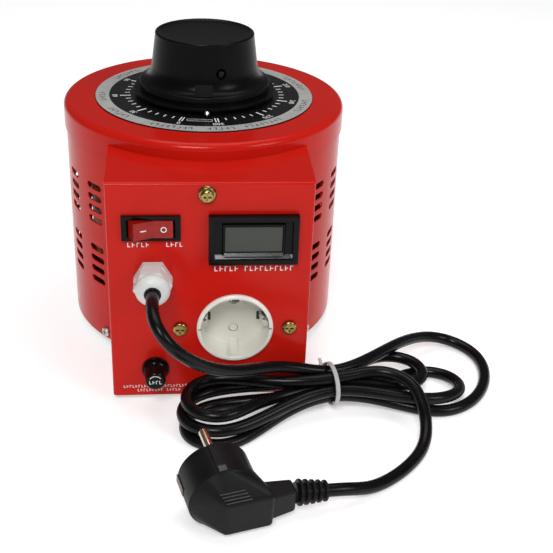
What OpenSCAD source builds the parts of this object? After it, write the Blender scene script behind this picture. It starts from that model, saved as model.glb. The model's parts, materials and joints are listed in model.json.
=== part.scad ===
// Bench variac autotransformer: a toroidal winding in a round slotted casing, with a control box,
// a turning dial knob and a mains lead tied in a hank.
// Origin: on the shaft axis, in the plane that the feet stand on. +Z up, front panel facing -Y.

/* [Casing] */
// Outer radius of the round casing
shell_r = 85; // [84:0.5:86]
// Sheet thickness of casing, cap and control box
sheet_t = 0.9; // [0.7:0.1:0.9]
// Radius of the top cap
cap_r = 86; // [86:0.2:86.6]
// Height of the top face of the cap
cap_top = 149.6; // [149:0.2:150]
// Height of the lower edge of the cap's skirt
cap_skirt = 133.7; // [132:0.5:136]
// Height of the rubber feet
foot_h = 8; // [6:0.5:8]

/* [Vent slots] */
// Width of one slot around the casing
slot_w = 13.4; // [10:0.2:15]
// Height of one slot
slot_h = 4; // [3:0.2:5]
// Vertical pitch of the slots
slot_pitch = 7.2; // [6:0.2:8]
// Number of slots in each group
slots_in_group = 4; // [3:1:4]

/* [Control box] */
// Width of the control box
box_w = 112.6; // [112:0.2:114]
// Distance of its front face from the shaft axis
box_front = 113.2; // [113:0.1:114]
// Height of its lower edge
box_low = 4; // [3:0.5:6]
// Height of the fold along its top edge
box_high = 138.9; // [138:0.1:139]
// Rise of the top plate from the fold to the casing
box_slope = 3; // [2:0.5:4]

/* [Dial and knob] */
// Radius of the dial plate
dial_r = 67; // [64:0.5:70]
// Thickness of the dial plate
dial_t = 0.7; // [0.5:0.1:1]
// Radius of the knob's lower disc
knob_disc_r = 43; // [42:0.5:45]
// Radius of the knob at its top edge
knob_top_r = 29.6; // [28:0.2:31]
// Height of the knob's top edge
knob_top = 189.4; // [187:0.2:191]

/* [Electrical] */
// Radius of the transformer winding
coil_r = 72; // [71:0.5:72]
// Radius of the winding's central hole
coil_hole_r = 27.5; // [27:0.5:28]
// Radius of the shaft
shaft_r = 4; // [4:0.01:4.02]
// Radius of the mains lead
cord_r = 3.5; // [3:0.1:3.5]

/* [Hidden] */
$fn = 96;

eps = 0.01;
// Heights of the stack on the base
pan_top = foot_h + 1.5;
cradle_low = pan_top + 0.1;
coil_low = 22;
coil_high = 100;
coil_mid = (coil_low + coil_high) / 2;
clamp_low = coil_high + 0.1;
flange_low = clamp_low + 4;
flange_top = flange_low + 4;
post_top = 111;
hub_low = post_top + 1.1;
arm_low = 117;
arm_top = 121;
shell_low = pan_top + 0.1;
shell_high = 145;
wall_in = shell_r - sheet_t;
foot_xy = 48;
// Screws that hold the shell to the base, angles from the front
shell_screw_angles = [-47.4, 47.4, 132.6, 227.4];
shell_screw_z = 14;
// Clamp bolts stand in the coil's hole
bolt_ring_r = 20;
bolt_angles = [30, 150, 270];
// Brush track and end stop
brush_y = 59;
stop_ring_r = 40;
stop_angle = -175;
coil_gap_angle = 5;
// Places on the front panel: x, z
switch_at = [-32.1, 113.15];
meter_at = [23.4, 106.35];
socket_at = [14.2, 49.4];
gland_at = [-31.6, 82.9];
fuse_at = [-31.3, 22.6];
// Across flats of the cable gland's hexagons
gland_flats = 18.6;
socket_screws_at = [[-17, 49.4], [45.4, 49.4]];
top_screw_at = [-2, 132.3];
contact_half = 9.5;
// Rocker's rest tilt, one end proud
rocker_tilt = 10;
rocker_depth = 2.2;
// Floor of the pocket that the rocker tips in
rocker_pocket = -8;
// Plug: where its face is, and which way its lead points
plug_at = [-1.8, -203.5, 21];
plug_turn = 15;
plug_tilt = 6;
plug_r = 18.5;
// Strain relief: from the plug to the lead
relief_start = [39.4, -213.6, 12.7];
relief_end = [56.5, -210.7, 11];
// Tie around the seven runs of the hank
tie_at = [70, -124, 16.5];
tie_turn = 12.5;
tie_ring_r = 12.4;
tie_wire_r = 0.9;

// Route of the lead, from inside the gland to the plug's strain relief
cord_route = [
    [-31.6, -125, 82.9], [-31.6, -134, 82.9], [-31.6, -144, 83.5], [-31.4, -155, 83],
    [-28.5, -163.5, 79], [-22, -167, 71], [-13, -163.5, 60.5], [-1, -155, 49],
    [16, -143, 38.5], [42, -123.5, 31], [69.5, -122.5, 21], [95, -109, 23],
    [118, -84, 19], [140, -62, 10], [160, -59, 4], [174, -78, 3.5],
    [171, -105, 3.5], [156, -129, 3.5], [132, -140, 3.5], [102, -127, 6.5],
    [70, -125.5, 12], [43, -136, 7], [25, -151, 3.5], [7, -165, 3.5],
    [-14, -158, 3.5], [-17, -137, 3.5], [0, -122, 3.5], [36, -125, 6.5],
    [71, -121, 12], [96, -113, 7], [114, -101, 3.5], [132, -92, 3.5],
    [150, -101, 4.5], [152, -123, 8], [130, -138, 12], [101, -132, 14],
    [71.5, -128.8, 18], [43, -140, 14], [23, -153, 11], [3, -162, 11],
    [-16, -153, 11], [-18, -133, 11], [1, -118, 11], [38, -121, 14.3],
    [71, -119.3, 18], [88, -102, 14], [106, -86, 11.5], [126, -91, 11],
    [132, -110, 11], [115, -126, 13], [92, -121, 15.5], [71.5, -123, 17.5],
    [42, -130, 13], [24, -143, 17.5], [7, -159, 18.5], [-13, -152, 18.5],
    [-16, -131, 18.5], [1, -115, 18.5], [39, -131.5, 22.5], [72.5, -128.5, 22.8],
    [96, -121, 24], [110, -127, 23.5], [119, -138, 21], [122, -152, 9],
    [118, -168, 3.5], [106, -184, 3.5], [92, -196, 3.5], [80, -203.5, 5],
    [68, -208.7, 9.9], [56.5, -210.7, 11]];
// Stretches of the route, counted from its start, whose tube takes a ring halfway along as well
cord_halved = [9, 13, 24, 25, 32, 41, 44, 54, 56, 58];
cord_sides = 8;

// A point on the smooth curve that the points p steer, t from 0 to len(p) - 1
function spline(p, t) =
    let (n = len(p),
        q = concat([2 * p[0] - p[1]], p, [2 * p[n - 1] - p[n - 2]]),
        i = min(floor(t), n - 2),
        u = t - i)
    (pow(1 - u, 3) * q[i] + (3 * pow(u, 3) - 6 * u * u + 4) * q[i + 1]
        + (3 * u * u - 3 * pow(u, 3) + 3 * u + 1) * q[i + 2] + pow(u, 3) * q[i + 3]) / 6;

function unit(v) = v / norm(v);

// Points of a ring of radius r round centre c, square to direction d
function ring(c, d, r, sides) =
    let (a = unit(cross(d, abs(d[2]) > 0.9 * norm(d) ? [0, 1, 0] : [0, 0, 1])),
        b = unit(cross(a, d)))
    [for (k = [0 : sides - 1]) c + r * (cos(360 * k / sides) * a + sin(360 * k / sides) * b)];

function arc(c, r, from, to, steps) =
    [for (k = [0 : steps]) c + r * [cos(from + (to - from) * k / steps),
        sin(from + (to - from) * k / steps)]];

// A round tube of radius r through the centres c
module tube(c, r, sides) {
    n = len(c);
    rings = [for (i = [0 : n - 1])
        ring(c[i], c[min(i + 1, n - 1)] - c[max(i - 1, 0)], r, sides)];
    walls = [for (i = [0 : n - 2], k = [0 : sides - 1])
        [i * sides + k, i * sides + (k + 1) % sides,
            (i + 1) * sides + (k + 1) % sides, (i + 1) * sides + k]];
    start = [for (k = [0 : sides - 1]) sides - 1 - k];
    end = [for (k = [0 : sides - 1]) (n - 1) * sides + k];
    polyhedron([for (q = rings, p = q) p], concat([start], walls, [end]), convexity = 10);
}

// A tube along the smooth curve that the points p steer
module swept(p, r, sides, rings) {
    tube([for (i = [0 : rings - 1]) spline(p, i * (len(p) - 1) / (rings - 1))], r, sides);
}

// Children drawn on the front panel at x, z, with their own +Z pointing out of it
module on_panel(at) {
    translate([at[0], -box_front, at[1]]) rotate([90, 0, 0]) children();
}

// A straight tube: outer radius, inner radius, from z to z
module pipe(r_out, r_in, low, high) {
    translate([0, 0, low]) difference() {
        cylinder(r = r_out, h = high - low);
        translate([0, 0, -eps]) cylinder(r = r_in, h = high - low + 2 * eps);
    }
}

// A hexagonal nut: across flats, hole radius, from z to z
module hex_nut(flats, hole_r, low, high) {
    translate([0, 0, low]) difference() {
        rotate(30) cylinder(r = flats / 2 / cos(30), h = high - low, $fn = 6);
        translate([0, 0, -eps]) cylinder(r = hole_r, h = high - low + 2 * eps);
    }
}

// A cross-head screw: the head stands on z = 0 and the shank hangs below
module cross_screw(head_r, head_h, shank_r, shank_l) {
    difference() {
        union() {
            rotate_extrude() polygon(concat([[0, 0], [head_r, 0], [head_r, head_h * 0.45]],
                arc([head_r - head_h * 0.55, head_h * 0.45], head_h * 0.55, 0, 90, 6),
                [[0, head_h]]));
            translate([0, 0, -shank_l]) cylinder(r = shank_r, h = shank_l + eps);
        }
        translate([0, 0, head_h - 0.5]) {
            cube([head_r * 1.15, head_r * 0.26, 1.4], center = true);
            cube([head_r * 0.26, head_r * 1.15, 1.4], center = true);
        }
    }
}

// ---- Casing ----

module base_pan() {
    color("dimgray") difference() {
        union() {
            translate([0, 0, foot_h]) cylinder(r = wall_in - 0.1, h = 1.5);
            difference() {
                pipe(wall_in - 0.1, wall_in - 1.5, pan_top - eps, 18);
                translate([-48, -100, pan_top]) cube([96, 80, 20]);
            }
            translate([-55, 1.3 - box_front, foot_h]) cube([110, box_front - 50, 1.5]);
        }
        for (x = [-foot_xy, foot_xy], y = [-foot_xy, foot_xy])
            translate([x, y, foot_h - 1]) cylinder(r = 2.05, h = 4);
        for (a = bolt_angles) rotate(a) translate([bolt_ring_r, 0, foot_h - 1])
            cylinder(r = 2.55, h = 4);
        for (a = shell_screw_angles) rotate(a) translate([0, -shell_r, shell_screw_z]) rotate([90, 0, 0])
            cylinder(r = 1.55, h = 20, center = true);
    }
}

module rubber_feet() {
    color([0.1, 0.1, 0.1]) for (x = [-foot_xy, foot_xy], y = [-foot_xy, foot_xy])
        translate([x, y, 0]) difference() {
            rotate_extrude() polygon([[0, 0], [7.2, 0], [7.6, 0.5], [8.2, foot_h], [0, foot_h]]);
            translate([0, 0, -1]) cylinder(r = 4.3, h = 4.5);
            translate([0, 0, -1]) cylinder(r = 2.1, h = foot_h + 2);
        }
}

module foot_screws() {
    color("silver") for (x = [-foot_xy, foot_xy], y = [-foot_xy, foot_xy])
        translate([x, y, 3.45]) mirror([0, 0, 1]) cross_screw(4, 2.2, 2, 6);
}

// One slot, cut through the wall at angle a from the front
module vent_slot(a, z) {
    rotate(a) translate([0, -shell_r, z]) rotate([90, 0, 0]) linear_extrude(6, center = true) union() {
        square([slot_w - slot_h, slot_h], center = true);
        translate([(slot_w - slot_h) / 2, 0]) circle(r = slot_h / 2, $fn = 24);
        translate([-(slot_w - slot_h) / 2, 0]) circle(r = slot_h / 2, $fn = 24);
    }
}

module perforated_shell() {
    columns = 16;
    column_pitch = 17.14;
    color("firebrick") difference() {
        pipe(shell_r, wall_in, shell_low, shell_high);
        for (k = [0 : columns - 1], group = [48.4, 89.2], i = [0 : slots_in_group - 1])
            vent_slot(180 + (k - (columns - 1) / 2) * column_pitch, group + i * slot_pitch);
        // Opening behind the control box, for the socket, switch and wiring
        translate([-46, -100, shell_low - 1]) cube([92, 60, 125 - shell_low + 1]);
        for (a = shell_screw_angles) rotate(a) translate([0, -shell_r, shell_screw_z]) rotate([90, 0, 0])
            cylinder(r = 1.55, h = 20, center = true);
    }
}

module shell_screws() {
    color("silver") for (a = shell_screw_angles)
        rotate(a) translate([0, -shell_r - 0.05, shell_screw_z]) rotate([90, 0, 0])
            cross_screw(3, 1.9, 1.5, 8);
}

module top_cap() {
    edge = 4;
    color("firebrick") rotate_extrude($fn = 180) polygon(concat(
        [[9, cap_top], [9, cap_top - sheet_t]],
        arc([cap_r - edge, cap_top - edge], edge - sheet_t, 90, 0, 8),
        [[cap_r - sheet_t, cap_skirt], [cap_r, cap_skirt]],
        arc([cap_r - edge, cap_top - edge], edge, 0, 90, 8)));
}

module dial_plate() {
    color("black") pipe(dial_r, 9, cap_top, cap_top + dial_t);
}

// Side outline of the control box, set in by t: y, z
function box_side(t) = concat(
    [[-box_front + t, box_low - (t > 0 ? 5 : 0)]],
    arc([-box_front + 2, box_high - 2], 2 - t, 180, 93, 5),
    [[-50, box_high + box_slope * 63 / 49 - t]],
    [[-50, box_low - (t > 0 ? 5 : 0)]]);

// Plan outline of the control box, set in by t: x, y
function box_plan(t) = concat(
    arc([2 - box_w / 2, 2 - box_front], 2 - t, 180, 270, 4),
    arc([box_w / 2 - 2, 2 - box_front], 2 - t, 270, 360, 4),
    [[box_w / 2 - t, -50], [t - box_w / 2, -50]]);

module box_block(t) {
    intersection() {
        linear_extrude(200) polygon(box_plan(t));
        rotate([90, 0, 90]) linear_extrude(box_w + 10, center = true) polygon(box_side(t));
    }
}

module panel_holes() {
    on_panel(switch_at) cube([30, 12.6, 10], center = true);
    on_panel(meter_at) cube([44.9, 26, 10], center = true);
    on_panel(socket_at) cylinder(r = 20.7, h = 10, center = true);
    on_panel(gland_at) cylinder(r = 7.7, h = 10, center = true);
    on_panel(fuse_at) cylinder(r = 6.2, h = 10, center = true);
    on_panel(top_screw_at) cylinder(r = 2.1, h = 10, center = true);
    for (at = socket_screws_at) on_panel(at) cylinder(r = 1.6, h = 10, center = true);
}

module control_box() {
    color("firebrick") difference() {
        box_block(0);
        box_block(1);
        cylinder(r = shell_r + 0.1, h = 140);
        translate([0, 0, cap_skirt - 0.2]) cylinder(r = cap_r + 0.1, h = 20);
        panel_holes();
    }
}

module panel_bracket() {
    color("gray") difference() {
        translate([top_screw_at[0] - 8, 0, 0]) union() {
            translate([0, 1.05 - box_front, 126]) cube([16, 1.5, 11]);
            translate([0, 1.05 - box_front, 126]) cube([16, box_front - 1.05 - shell_r - 0.3, 1.5]);
            translate([0, -shell_r - 1.8, 126]) cube([16, 1.5, 6.5]);
        }
        on_panel(top_screw_at) cylinder(r = 2.05, h = 10, center = true);
    }
}

module panel_top_screw() {
    color("gold") on_panel(top_screw_at) translate([0, 0, 1.75]) cross_screw(3.7, 2.3, 2, 10);
}

module cup_washer() {
    color("gold") on_panel(top_screw_at) rotate_extrude()
        polygon([[2.1, 0.05], [5.15, 0.05], [5.15, 0.5], [4.2, 1.7], [2.1, 1.7]]);
}

// ---- Transformer ----

module core_cradle() {
    color("saddlebrown") difference() {
        pipe(74, 24.5, cradle_low, coil_low - 0.1);
        pipe(68, 33, cradle_low - 1, coil_low - 3);
    }
}

module core() {
    color("slategray") pipe(62.5, 37, 31.6, 90.4);
}

module core_end_caps() {
    color("ivory") for (side = [0, 1]) translate([0, 0, coil_mid]) mirror([0, 0, side])
        translate([0, 0, 29.5]) difference() {
            pipe(63.9, 35.6, -8, 1.4);
            pipe(62.6, 36.9, -9, 0);
        }
}

// Copper wound round the core all but a gap between its first and last turns
module winding() {
    bend = 6;
    color("chocolate") difference() {
        rotate_extrude($fn = 144) difference() {
            polygon(concat(
                arc([coil_r - bend, coil_high - bend], bend, 0, 90, 6),
                arc([coil_hole_r + bend, coil_high - bend], bend, 90, 180, 6),
                arc([coil_hole_r + bend, coil_low + bend], bend, 180, 270, 6),
                arc([coil_r - bend, coil_low + bend], bend, 270, 360, 6)));
            translate([35.5, 30]) square([28.5, 62]);
        }
        rotate(coil_gap_angle) translate([-2, -coil_r - 5, 0]) cube([4, coil_r, 150]);
    }
}

module clamp_ring() {
    color("saddlebrown") difference() {
        pipe(44, 9.2, clamp_low, flange_low - 0.1);
        for (a = bolt_angles) rotate(a) translate([bolt_ring_r, 0, clamp_low - 1])
            cylinder(r = 2.6, h = 6);
    }
}

module clamp_bolts() {
    color("silver") for (a = bolt_angles) rotate(a) translate([bolt_ring_r, 0, 0]) {
        translate([0, 0, flange_top + 0.05]) rotate(30) cylinder(r = 4.6, h = 3.4, $fn = 6);
        translate([0, 0, 4.4]) cylinder(r = 2.5, h = flange_top - 4.3);
    }
}

module clamp_nuts() {
    color("silver") for (a = bolt_angles) rotate(a) translate([bolt_ring_r, 0, 0])
        hex_nut(8, 2.52, foot_h - 3.6, foot_h - 0.05);
}

module bearing_post() {
    color("lightgray") difference() {
        union() {
            translate([0, 0, flange_low]) cylinder(r = 25, h = flange_top - flange_low);
            translate([0, 0, 58]) cylinder(r = 9, h = post_top - 58);
        }
        translate([0, 0, 50]) cylinder(r = 5.52, h = 70);
        for (a = bolt_angles) rotate(a) translate([bolt_ring_r, 0, flange_low - 1])
            cylinder(r = 2.55, h = 6);
    }
}

module shaft_bushes() {
    color("goldenrod") {
        pipe(5.5, 4.04, 58, 70);
        pipe(5.5, 4.04, 99, post_top);
    }
}

module end_stop() {
    color("silver") rotate(stop_angle) translate([0, -stop_ring_r, flange_low - 0.1])
        cylinder(r = 1.85, h = 116.3 - flange_low);
}

// Bronze strip that carries the output current from the foot of the shaft
module collector_spring() {
    color("peru") translate([-3, 0, 0]) union() {
        translate([0, -4, 48.6]) cube([6, 17, 1]);
        translate([0, 12, pan_top + 0.1]) cube([6, 1, 49.6 - pan_top - 0.1]);
        translate([0, 12, pan_top + 0.1]) cube([6, 9, 1]);
    }
}

// ---- Rotor ----

module shaft() {
    color("silver") difference() {
        translate([0, 0, 50]) cylinder(r = shaft_r, h = 133);
        pipe(6, 3.4, 55.7, 57);
    }
}

module thrust_washers() {
    color("goldenrod") {
        pipe(8.5, 4.06, 57.1, 57.95);
        pipe(8.5, 4.06, post_top + 0.1, hub_low - 0.1);
    }
}

module retaining_ring() {
    color("dimgray") difference() {
        pipe(7, 3.45, 55.8, 56.9);
        translate([-2.4, 0, 50]) cube([4.8, 10, 10]);
    }
}

module brush_arm() {
    fins = 5;
    color("lightgray") difference() {
        union() {
            translate([0, 0, hub_low]) cylinder(r = 12, h = 126 - hub_low);
            translate([-10, -70, arm_low]) cube([20, 66, arm_top - arm_low]);
            for (i = [0 : fins - 1])
                translate([-10 + i * 4.7, -70, arm_top - eps]) cube([1.2, 56, 13]);
            // Tail that meets the end stop
            translate([-1.5, 8, hub_low]) cube([3, 36, 4.5]);
        }
        translate([0, 0, hub_low - 1]) cylinder(r = 4.02, h = 30);
        translate([0, 0, 119]) rotate([0, 90, 0]) cylinder(r = 1.6, h = 20);
    }
}

module brush_holder() {
    color("gold") difference() {
        translate([-4.5, -brush_y - 7.5, 103.2]) cube([9, 15, arm_low - 103.3]);
        translate([-2.6, -brush_y - 5.1, 100]) cube([5.2, 10.2, 20]);
    }
}

module carbon_brush() {
    color([0.15, 0.15, 0.16]) translate([-2.5, -brush_y - 5, coil_high + 0.05]) cube([5, 10, 11.5]);
}

module brush_spring() {
    turns = 4;
    steps = 10;
    low = 112.1;
    rise = 4.3;
    color("silver") translate([0, -brush_y, 0])
        tube([for (k = [0 : turns * steps]) [1.8 * cos(360 * k / steps), 1.8 * sin(360 * k / steps),
            low + rise * k / turns / steps]], 0.3, 6);
}

module knob() {
    disc_low = 153.3;
    disc_high = 155.4;
    flange_r = 39.7;
    inside = [[shaft_r + 0.02, disc_low], [9, disc_low], [9, 184.5], [26.4, 184.5], [28.6, 165],
        [31, 159.6], [36.4, 157.2], [36.8, disc_low]];
    disc = [[knob_disc_r, disc_low], [knob_disc_r, disc_high - 0.5], [knob_disc_r - 0.5, disc_high],
        [38.5, disc_high]];
    flange = [[38.5, 157], [flange_r - 0.2, 157.1], [flange_r, 157.4], [flange_r, 159.9],
        [flange_r - 0.3, 160.3], [38.4, 160.6]];
    flare = [[36.6, 161.3], [35, 162.5], [33.8, 164.2], [33, 166.3], [32.3, 169],
        [knob_top_r + 0.3, knob_top - 1.5]];
    crown = [[27.4, knob_top], [26.6, knob_top - 0.9], [0, knob_top - 1.5], [0, 183.2],
        [shaft_r + 0.02, 183.2]];
    color([0.08, 0.08, 0.08]) difference() {
        rotate_extrude($fn = 144) polygon(concat(inside, disc, flange, flare,
            arc([knob_top_r - 0.9, knob_top - 1.2], 1.2, 10, 90, 4), crown));
        // Set screw hole, wide in the wall and narrow in the hub
        rotate(16) translate([0, 0, 172]) rotate([90, 0, 0]) {
            cylinder(r = 1.9, h = 50);
            translate([0, 0, 15]) cylinder(r = 3.2, h = 35);
        }
    }
}

module knob_pointer() {
    color("silver") translate([-1.6, 0, 152.5]) union() {
        translate([0, -46, 0]) cube([3.2, 8, 0.7]);
        translate([0.6, -48.5, 0]) cube([2, 3, 0.7]);
    }
}

module knob_set_screw() {
    color("dimgray") rotate(16) translate([0, -shaft_r - 0.05, 172]) rotate([90, 0, 0]) difference() {
        cylinder(r = 1.85, h = 5.6);
        translate([0, 0, 3.6]) cube([5, 0.6, 5], center = true);
    }
}

// ---- Switch ----

module switch_body() {
    color([0.08, 0.08, 0.08]) on_panel(switch_at) difference() {
        union() {
            translate([-15.9, -7.25, 0.05]) cube([31.8, 14.5, 2]);
            translate([-14.8, -6.1, -19]) cube([29.6, 12.2, 19.1]);
        }
        translate([-13, -5.3, rocker_pocket]) cube([26, 10.6, 20]);
        translate([0, 0, -rocker_depth]) rotate([90, 0, 0]) cylinder(r = 1.25, h = 11.7, center = true);
    }
}

// A seesaw with a shallow V face, turned about a pin that stands along Z
module switch_rocker() {
    face = [[-10.6, 7.4], [-12.4, 2], [-12.4, -1], [-6, -4.2], [6, -4.2], [12.4, -1], [12.4, 2],
        [10.6, 7.4], [0, 5.2]];
    color([0.8, 0.1, 0.08]) on_panel(switch_at) translate([0, 0, -rocker_depth])
        rotate([0, rocker_tilt, 0]) rotate([90, 0, 0]) union() {
            linear_extrude(10, center = true) polygon(face);
            cylinder(r = 1.2, h = 11.6, center = true);
        }
}

module switch_terminals() {
    color("silver") on_panel(switch_at) for (x = [-11, 0, 11])
        translate([x - 0.4, -3.1, -28]) cube([0.8, 6.2, 8.95]);
}

// ---- Meter ----

module meter_bezel() {
    color([0.07, 0.07, 0.08]) on_panel(meter_at) difference() {
        union() {
            difference() {
                translate([-24.6, -14.6, 0.05]) cube([49.2, 29.2, 4.35]);
                translate([-21.2, -11.2, 1.6]) cube([42.4, 22.4, 5]);
            }
            // Raised frame round the window, on the sunken floor
            translate([-17, -9.5, 1]) cube([34, 19, 1.8]);
        }
        translate([-15.9, -7.7, -1]) cube([31.8, 15.4, 10]);
    }
}

module meter_window() {
    color([0.45, 0.5, 0.45]) on_panel(meter_at) translate([-15.8, -7.6, 0.3]) cube([31.6, 15.2, 1.6]);
}

module meter_case() {
    color([0.1, 0.1, 0.1]) on_panel(meter_at) translate([-22.2, -12.8, -20]) cube([44.4, 25.6, 20]);
}

// ---- Outlet socket ----

module socket_body() {
    rim_out = 21.75;
    well_r = 19.6;
    color("ivory") on_panel(socket_at) difference() {
        union() {
            rotate_extrude() polygon([[0, -27], [20.4, -27], [20.4, 0.05], [rim_out, 0.05],
                [rim_out, 1.4], [rim_out - 0.9, 2.2], [0, 2.2]]);
        }
        difference() {
            translate([0, 0, -15.3]) cylinder(r = well_r, h = 20);
            // Keys above and below
            for (s = [-1, 1]) translate([-2.3, s * (well_r - 1) - 1.5, -16]) cube([4.6, 3, 17]);
        }
        for (s = [-1, 1]) translate([0, s * contact_half, 0]) {
            translate([0, 0, -30]) cylinder(r = 3.25, h = 13.4);
            translate([0, 0, -30]) cylinder(r = 2.85, h = 20);
        }
        // Windows for the earth clips
        for (s = [-1, 1]) translate([s * 18.2 - 1.7, -3, -30]) cube([3.4, 6, 27]);
    }
}

module contact_sleeves() {
    color("gold") on_panel(socket_at) for (s = [-1, 1]) translate([0, s * contact_half, 0])
        pipe(3.2, 2.45, -29, -16.7);
}

// Two bowed strips, joined behind the outlet
module earth_clips() {
    bow = [[18.8, -28.2], [18.8, -12.5], [17.6, -10], [16.3, -8], [16.3, -6.4], [18.4, -4], [18.4, -3.4],
        [19, -3.4], [19, -4.4], [17.1, -6.8], [17.1, -7.6], [18.3, -9.6], [19.6, -12.2], [19.6, -28.2]];
    color("silver") on_panel(socket_at) union() {
        for (s = [0, 1]) mirror([s, 0, 0]) rotate([90, 0, 0]) linear_extrude(4, center = true)
            polygon(bow);
        translate([-19.6, -2, -28.9]) cube([39.2, 4, 0.8]);
    }
}

module socket_plate() {
    color("silver") on_panel(socket_at) difference() {
        translate([-36, -6, -2.6]) cube([72, 12, 1.5]);
        cylinder(r = 20.6, h = 10, center = true);
        for (x = [-31.2, 31.2]) translate([x, 0, 0]) cylinder(r = 1.55, h = 10, center = true);
    }
}

module socket_screws() {
    color("gold") for (at = socket_screws_at)
        on_panel(at) translate([0, 0, 0.05]) cross_screw(4.15, 2.4, 1.5, 12);
}

// ---- Cable gland ----

module gland_body() {
    color("white") on_panel(gland_at) difference() {
        union() {
            translate([0, 0, -10]) cylinder(r = 7.6, h = 22);
            translate([0, 0, 0.05]) cylinder(r = gland_flats / 2 / cos(30), h = 6, $fn = 6);
        }
        translate([0, 0, -12]) cylinder(r = 4.2, h = 40);
    }
}

module gland_dome_nut() {
    color("white") on_panel(gland_at) difference() {
        union() {
            rotate(8) translate([0, 0, 6.15]) cylinder(r = gland_flats / 2 / cos(30), h = 7.4, $fn = 6);
            rotate_extrude() polygon(concat([[0, 13], [9.4, 13], [9.4, 13.6]],
                arc([2.9, 13.6], 7, 20, 80, 8), [[0, 20.6]]));
        }
        translate([0, 0, 6]) cylinder(r = 7.7, h = 6.2);
        translate([0, 0, 5]) cylinder(r = 4.6, h = 20);
    }
}

module gland_seal() {
    claws = 10;
    color([0.08, 0.08, 0.08]) on_panel(gland_at) difference() {
        pipe(4.5, 3.62, 12.3, 21);
        for (k = [0 : claws - 1]) rotate(k * 360 / claws)
            translate([3.2, -0.3, 17]) cube([2, 0.6, 5]);
    }
}

module gland_locknut() {
    color("white") on_panel(gland_at) rotate(15) hex_nut(gland_flats, 7.65, -6, -1.1);
}

// ---- Fuse holder ----

module fuse_holder_body() {
    color([0.08, 0.08, 0.08]) on_panel(fuse_at) difference() {
        union() {
            translate([0, 0, 0.05]) cylinder(r = 7.85, h = 1.9);
            translate([0, 0, -34]) cylinder(r = 6.1, h = 34.1);
            translate([-2.5, -0.5, -40]) cube([5, 1, 7]);
        }
        translate([0, 0, -26]) cylinder(r = 4.3, h = 40);
    }
}

module fuse_nut() {
    color("silver") on_panel(fuse_at) hex_nut(15, 6.15, -4.6, -1.1);
}

module fuse_cap() {
    ribs = 20;
    cap_low = 2.15;
    cap_len = 12;
    color([0.08, 0.08, 0.08]) on_panel(fuse_at) difference() {
        rotate_extrude() polygon([[0, cap_low], [7, cap_low], [6.9, cap_low + 2.4], [6.2, cap_low + 3],
            [5.7, cap_low + cap_len - 0.8], [4.9, cap_low + cap_len], [0, cap_low + cap_len]]);
        translate([0, 0, cap_low - 1]) cylinder(r = 4.2, h = 5.2);
        for (k = [0 : ribs - 1]) rotate(k * 360 / ribs)
            translate([6.35, 0, cap_low + 3.2]) cylinder(r = 0.42, h = 14, $fn = 6);
    }
}

module fuse_carrier() {
    color([0.12, 0.12, 0.12]) on_panel(fuse_at) difference() {
        translate([0, 0, -9]) cylinder(r = 4, h = 15);
        translate([0, 0, -10]) cylinder(r = 2.56, h = 7);
    }
}

module fuse_link() {
    color("silver") on_panel(fuse_at) translate([0, 0, -23.5]) union() {
        cylinder(r = 2.5, h = 5);
        translate([0, 0, 4.9]) cylinder(r = 2.3, h = 10.2);
        translate([0, 0, 15]) cylinder(r = 2.5, h = 5);
    }
}

// ---- Wiring in the control box ----

module terminal_strip() {
    ways = 4;
    color("ivory") difference() {
        translate([4, -108, pan_top + 0.1]) cube([46, 13, 12]);
        for (i = [0 : ways - 1]) translate([10 + i * 11.3, -101.5, 0]) {
            translate([0, 0, pan_top + 7]) cylinder(r = 2.6, h = 10);
            translate([0, 0, 15.5]) rotate([90, 0, 0]) cylinder(r = 1.5, h = 30, center = true);
        }
    }
}

module inner_wires() {
    wire_r = 1.1;
    color("peru") {
        // From the gland to the switch
        swept([[-31.6, -101, 84.5], [-31.6, -97, 85], [-36, -91, 92], [-42, -86, 101],
            [-43, -83.4, 109], [-43, -83.6, 113]], wire_r, 8, 12);
        swept([[-29, -101, 81], [-28, -96, 80], [-24, -90, 86], [-20, -86, 98],
            [-20.5, -83.4, 108], [-21, -83.6, 113]], wire_r, 8, 12);
        // From the gland down to the fuse and the terminals
        swept([[-34, -101, 80], [-35, -96, 77], [-36, -90, 64], [-37, -88, 48],
            [-37, -84, 34], [-33, -79, 29.5]], wire_r, 8, 12);
        swept([[30, -93, 15.5], [30, -88, 15.5], [20, -83.5, 17], [4, -83, 19],
            [-12, -82, 22], [-22, -80, 26]], wire_r, 8, 12);
    }
}

// ---- Mains lead ----

module cord() {
    stations = [for (i = [0 : len(cord_route) - 1])
        each len([for (k = cord_halved) if (k == i) k]) > 0 ? [i, i + 0.5] : [i]];
    color([0.07, 0.07, 0.07]) tube([for (t = stations) spline(cord_route, t)], cord_r, cord_sides);
}

module cord_tie() {
    color("gray") translate(tie_at) rotate([0, 90, tie_turn]) union() {
        rotate_extrude() translate([tie_ring_r, 0]) circle(r = tie_wire_r, $fn = 16);
        rotate(100) translate([tie_ring_r + 0.4, 0, 0]) rotate([0, 60, 0])
            cylinder(r = 0.9, h = 8, $fn = 16);
    }
}

// The plug lies on its side: its own Y points out of its face and its X along the lead
module in_plug() {
    translate(plug_at) rotate(plug_turn) rotate([plug_tilt, 0, 0]) children();
}

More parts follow.
